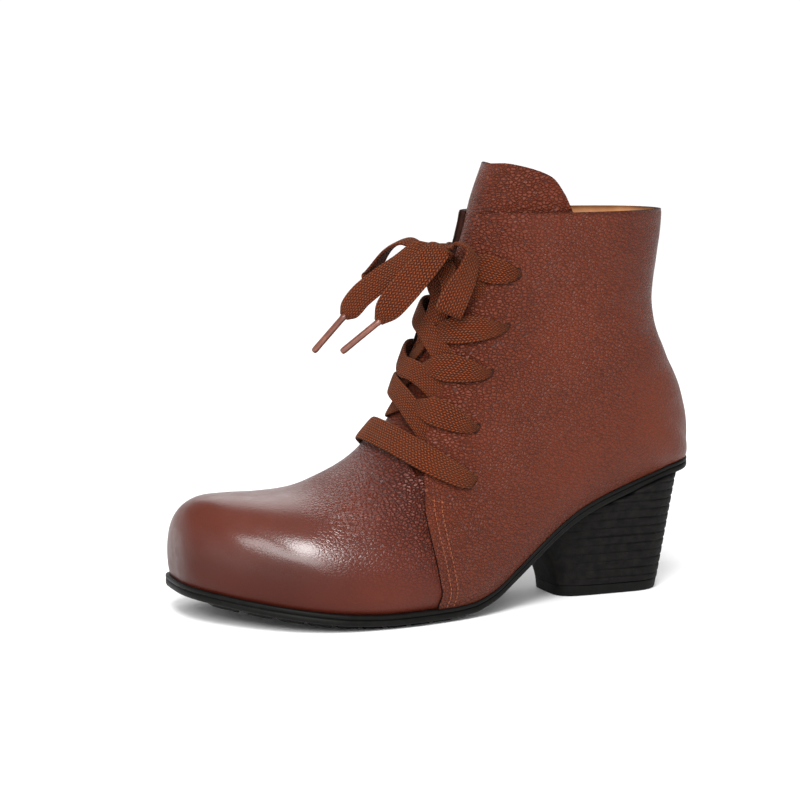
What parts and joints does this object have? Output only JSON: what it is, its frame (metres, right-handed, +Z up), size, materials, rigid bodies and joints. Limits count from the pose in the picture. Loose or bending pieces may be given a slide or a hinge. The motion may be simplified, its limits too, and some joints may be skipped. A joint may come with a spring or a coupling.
{
  "type": "lace-up ankle boot",
  "caption": "Heeled ankle boot for the left foot: wide rounded toe, lace-up front with a bow, a standing tongue, a zip on the inner side and a grooved block heel.",
  "frame": {"origin": "middle of the heel's bottom face, on the floor", "axes": "+X from heel to toe, +Y to the outer side of the left foot, +Z up"},
  "size_m": [0.2518, 0.0995, 0.2056],
  "materials": {
    "upper_leather": "waxed, semi-gloss, grained",
    "lining_leather": "matt",
    "lace_cotton": "flat woven, matt",
    "aglet_plastic": "gloss",
    "sole_rubber": "matt",
    "heel_block": "matt",
    "zip_metal": "satin"
  },
  "bodies": {
    "boot": {"outsole": "sole_rubber", "heel": "heel_block", "top_lift": "sole_rubber", "insole": "lining_leather", "upper": "upper_leather", "tongue": "upper_leather", "lace_bar": "lace_cotton", "lace_cross_1": "lace_cotton", "lace_cross_2": "lace_cotton", "lace_cross_3": "lace_cotton", "lace_cross_4": "lace_cotton", "bow_knot": "lace_cotton", "bow_loop_outer": "lace_cotton", "bow_loop_inner": "lace_cotton", "bow_end_front": "lace_cotton", "bow_end_back": "lace_cotton", "aglet_front": "aglet_plastic", "aglet_back": "aglet_plastic", "zip_chain": "zip_metal", "zip_slider": "zip_metal"},
    "pull": {"zip_pull": "zip_metal"}
  },
  "joints": [
    {"name": "pull_swing", "type": "hinge", "parent": "boot", "child": "pull", "pos_m": [0.015, -0.03458, 0.17356], "axis": [-1, 0, 0], "range_deg": [0, 150]}
  ]
}
